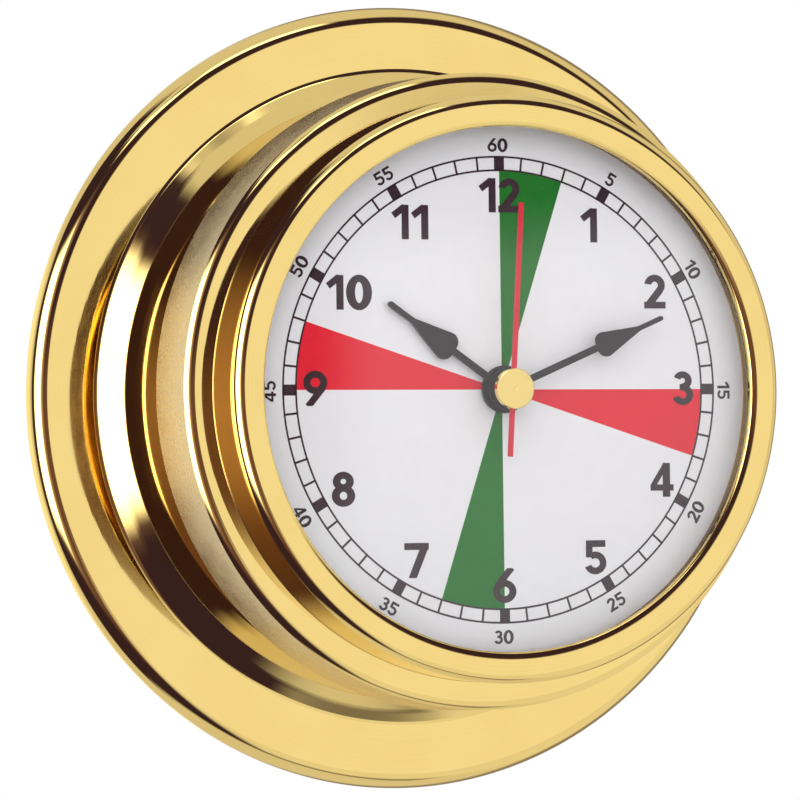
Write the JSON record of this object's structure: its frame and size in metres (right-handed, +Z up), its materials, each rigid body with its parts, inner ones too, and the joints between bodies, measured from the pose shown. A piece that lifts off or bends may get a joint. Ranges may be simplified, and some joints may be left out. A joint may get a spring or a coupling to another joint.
{
  "type": "ship's deck clock",
  "caption": "Round brass bulkhead clock with a flanged drum case, stepped bezel, domed crystal, white dial, spade hands and a geared quartz movement on a screwed wall ring.",
  "frame": {"origin": "centre of the back, on the wall, in the middle of the circle of wall screws", "axes": "the clock faces -Y, +Y points into the wall, +Z points up to twelve and +X points right to three"},
  "size_m": [0.095, 0.0391, 0.095],
  "materials": {
    "polished_brass": "polished and lacquered",
    "gilt": "gilt, satin",
    "crystal_glass": "clear, polished",
    "seal_rubber": "moulded black",
    "dial_lacquer": "white lacquer, printed",
    "hand_black": "black lacquer, satin",
    "hand_red": "red lacquer, satin",
    "zinc_steel": "zinc plated",
    "spring_steel": "blued, bright",
    "case_plastic": "moulded black",
    "grey_plastic": "moulded grey",
    "wheel_nylon": "moulded natural",
    "board_green": "green solder mask",
    "chip_black": "epoxy",
    "winding_copper": "enamelled copper wire",
    "battery_can": "plain printed sleeve"
  },
  "bodies": {
    "case": {"case_shell": "polished_brass", "bezel": "polished_brass", "dial_spacer": "gilt", "crystal": "crystal_glass", "bezel_seal": "seal_rubber", "crystal_seal": "seal_rubber", "dial": "dial_lacquer", "wall_ring": "zinc_steel", "holder_screws": "zinc_steel", "cover_screws": "zinc_steel", "positive_contact": "zinc_steel", "negative_contact": "zinc_steel", "quartz_can": "zinc_steel", "stator": "zinc_steel", "coil_core": "zinc_steel", "ring_springs": "spring_steel", "movement_holder": "case_plastic", "movement_case": "case_plastic", "movement_cover": "grey_plastic", "middle_plate": "grey_plastic", "coil_bobbin": "wheel_nylon", "circuit_board": "board_green", "driver_chip": "chip_black", "coil_winding": "winding_copper", "battery": "battery_can"},
    "hour": {"hour_wheel": "wheel_nylon", "hour_hand": "hand_black"},
    "minute": {"centre_wheel": "wheel_nylon", "minute_hand": "hand_black"},
    "second": {"second_wheel": "wheel_nylon", "second_hand": "hand_red", "second_hand_cap": "polished_brass"},
    "third": {"third_wheel": "wheel_nylon"},
    "intermediate": {"intermediate_wheel": "wheel_nylon"},
    "rotor": {"rotor_magnet": "zinc_steel", "rotor_pinion": "wheel_nylon"},
    "motion": {"motion_wheel": "wheel_nylon"},
    "setting": {"setting_wheel": "wheel_nylon", "setting_knob": "case_plastic"}
  },
  "joints": [
    {"name": "minute_turn", "type": "hinge", "parent": "case", "child": "minute", "pos_m": [0, -0.028, 0], "axis": [0, 1, 0], "continuous": true},
    {"name": "hour_turn", "type": "hinge", "parent": "case", "child": "hour", "pos_m": [0, -0.028, 0], "axis": [0, 1, 0], "continuous": true},
    {"name": "second_turn", "type": "hinge", "parent": "case", "child": "second", "pos_m": [0, -0.028, 0], "axis": [0, 1, 0], "continuous": true},
    {"name": "third_turn", "type": "hinge", "parent": "case", "child": "third", "pos_m": [-0.0065, -0.022, 0.00375], "axis": [0, 1, 0], "continuous": true},
    {"name": "intermediate_turn", "type": "hinge", "parent": "case", "child": "intermediate", "pos_m": [0.00275, -0.019, 0.00476], "axis": [0, 1, 0], "continuous": true},
    {"name": "rotor_turn", "type": "hinge", "parent": "case", "child": "rotor", "pos_m": [0.00545, -0.019, 0.00944], "axis": [0, 1, 0], "continuous": true},
    {"name": "motion_turn", "type": "hinge", "parent": "case", "child": "motion", "pos_m": [0.006, -0.026, 0], "axis": [0, 1, 0], "continuous": true},
    {"name": "setting_turn", "type": "hinge", "parent": "case", "child": "setting", "pos_m": [0.01265, -0.02, -0.00117], "axis": [0, 1, 0], "continuous": true}
  ],
  "couplings": [
    {"joint": "hour_turn", "follows": "minute_turn", "ratio": 0.083333},
    {"joint": "second_turn", "follows": "minute_turn", "ratio": 60},
    {"joint": "third_turn", "follows": "minute_turn", "ratio": -8},
    {"joint": "intermediate_turn", "follows": "minute_turn", "ratio": -300},
    {"joint": "rotor_turn", "follows": "minute_turn", "ratio": 1800},
    {"joint": "motion_turn", "follows": "minute_turn", "ratio": -0.33333},
    {"joint": "setting_turn", "follows": "minute_turn", "ratio": 0.66667}
  ]
}
